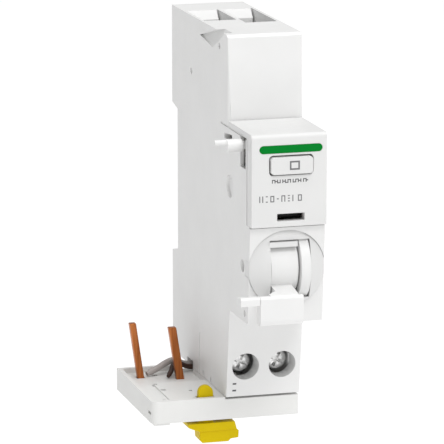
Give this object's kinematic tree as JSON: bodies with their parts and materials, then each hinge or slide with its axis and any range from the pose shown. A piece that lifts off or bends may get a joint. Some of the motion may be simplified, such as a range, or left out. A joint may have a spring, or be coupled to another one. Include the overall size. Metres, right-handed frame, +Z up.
{
  "type": "residual current device",
  "caption": "Add-on residual current block that stands beside a miniature breaker: tall body with toggle, test button and terminals, on a tray with copper prongs and a yellow lock slide.",
  "frame": {"origin": "on the centre line of the 35 mm rail, on its seat, at the left side of the tall body", "axes": "X right, Y towards the rail (the back), Z up; the front looks along -Y, the breaker stands at X below 0"},
  "size_m": [0.036, 0.0745, 0.0981],
  "materials": {
    "shell": "moulded, fine satin",
    "front_white": "moulded, smooth",
    "toggle_white": "moulded, smooth",
    "tray_grey": "moulded, fine satin",
    "stripe_green": "printed strip",
    "yellow": "moulded",
    "steel": "zinc plated",
    "copper": "bare copper",
    "brass": "stamped brass",
    "enamel": "enamelled copper wire",
    "pole_iron": "annealed iron",
    "inner_black": "moulded",
    "inner_ivory": "moulded",
    "flag_red": "moulded",
    "board_green": "solder resist",
    "component_dark": "moulded",
    "resistor_tan": "lacquered",
    "lead_grey": "PVC insulation",
    "lead_brown": "PVC insulation",
    "lead_red": "PVC insulation"
  },
  "bodies": {
    "housing": {"case": "shell", "side_cover": "shell", "front_cover": "front_white", "label_stripe": "stripe_green", "case_rivets": "steel", "base_tray": "tray_grey", "prong_n": "copper", "prong_l": "copper", "lead_n": "lead_grey", "lead_l": "lead_brown", "toggle_bezel": "front_white", "toggle_axle": "steel", "toggle_spring": "steel", "test_spring": "steel", "test_contact": "brass", "test_resistor": "resistor_tan", "circuit_board": "board_green", "board_components": "component_dark", "trip_axle": "steel", "trip_spring": "steel", "relay_holder": "inner_black", "relay_yoke": "pole_iron", "relay_coil": "enamel", "relay_magnet": "pole_iron", "toroid_core": "pole_iron", "toroid_winding": "enamel", "toroid_cradle": "inner_black", "sense_lead": "lead_red", "conductor_n": "copper", "conductor_l": "copper", "contact_plate_n": "brass", "contact_plate_l": "brass"},
    "toggle": {"toggle_lever": "toggle_white", "toggle_disc": "toggle_white", "handle_tie": "toggle_white"},
    "test_button": {"test_button": "front_white"},
    "trip_lever": {"trip_lever": "inner_ivory", "trip_pin": "toggle_white"},
    "fault_flag": {"fault_flag": "flag_red"},
    "relay_armature": {"relay_armature": "pole_iron"},
    "relay_plunger": {"relay_plunger": "inner_ivory"},
    "reset_slider": {"reset_slider": "inner_ivory"},
    "screw_n": {"screw_n": "steel"},
    "screw_l": {"screw_l": "steel"},
    "cage_n": {"cage_n": "steel"},
    "cage_l": {"cage_l": "steel"},
    "lock_slide": {"lock_slide": "yellow"},
    "din_clip": {"din_clip": "yellow"}
  },
  "joints": [
    {"name": "toggle_turn", "type": "hinge", "parent": "housing", "child": "toggle", "pos_m": [0.009, -0.0568, -0.0094], "axis": [-1, 0, 0], "range_deg": [0, 64]},
    {"name": "test_press", "type": "slide", "parent": "housing", "child": "test_button", "axis": [0, 1, 0], "range_m": [0, 0.0018], "stiffness_N_per_m": 500, "springref_m": -0.001, "deforming": ["test_spring"]},
    {"name": "trip_turn", "type": "hinge", "parent": "housing", "child": "trip_lever", "pos_m": [0.0027, -0.04, 0.016], "axis": [1, 0, 0], "range_deg": [0, 10.5], "stiffness_Nm_per_rad": 0.0005, "springref_deg": -8.59},
    {"name": "flag_drop", "type": "slide", "parent": "housing", "child": "fault_flag", "axis": [0, 0, -1], "range_m": [0, 0.002]},
    {"name": "armature_lift", "type": "hinge", "parent": "housing", "child": "relay_armature", "pos_m": [0.0092, -0.0223, 0.00868], "axis": [-1, 0, 0], "range_deg": [0, 9.5]},
    {"name": "plunger_lift", "type": "slide", "parent": "housing", "child": "relay_plunger", "axis": [0, 0, 1], "range_m": [0, 0.0015]},
    {"name": "reset_shift", "type": "slide", "parent": "housing", "child": "reset_slider", "axis": [0, 1, 0], "range_m": [0, 0.00382]},
    {"name": "screw_n_turn", "type": "hinge", "parent": "housing", "child": "screw_n", "pos_m": [0.0045, -0.037, -0.03695], "axis": [0, 1, 0], "range_deg": [0, 1801]},
    {"name": "cage_n_rise", "type": "slide", "parent": "housing", "child": "cage_n", "axis": [0, -1, 0], "range_m": [0, 0.004]},
    {"name": "screw_l_turn", "type": "hinge", "parent": "housing", "child": "screw_l", "pos_m": [0.0135, -0.037, -0.03695], "axis": [0, 1, 0], "range_deg": [0, 1801]},
    {"name": "cage_l_rise", "type": "slide", "parent": "housing", "child": "cage_l", "axis": [0, -1, 0], "range_m": [0, 0.004]},
    {"name": "lock_pull", "type": "slide", "parent": "housing", "child": "lock_slide", "axis": [0, 0, -1], "range_m": [0, 0.0035]},
    {"name": "clip_pull", "type": "slide", "parent": "housing", "child": "din_clip", "axis": [0, 0, -1], "range_m": [0, 0.003], "stiffness_N_per_m": 800, "springref_m": -0.002}
  ],
  "couplings": [
    {"joint": "flag_drop", "follows": "trip_turn", "m_per_rad": 0.0109},
    {"joint": "armature_lift", "follows": "trip_turn", "ratio": 0.9},
    {"joint": "plunger_lift", "follows": "trip_turn", "m_per_rad": 0.008},
    {"joint": "reset_shift", "follows": "toggle_turn", "m_per_rad": 0.003415},
    {"joint": "screw_n_turn", "follows": "cage_n_rise", "rad_per_m": 7854},
    {"joint": "screw_l_turn", "follows": "cage_l_rise", "rad_per_m": 7854}
  ]
}
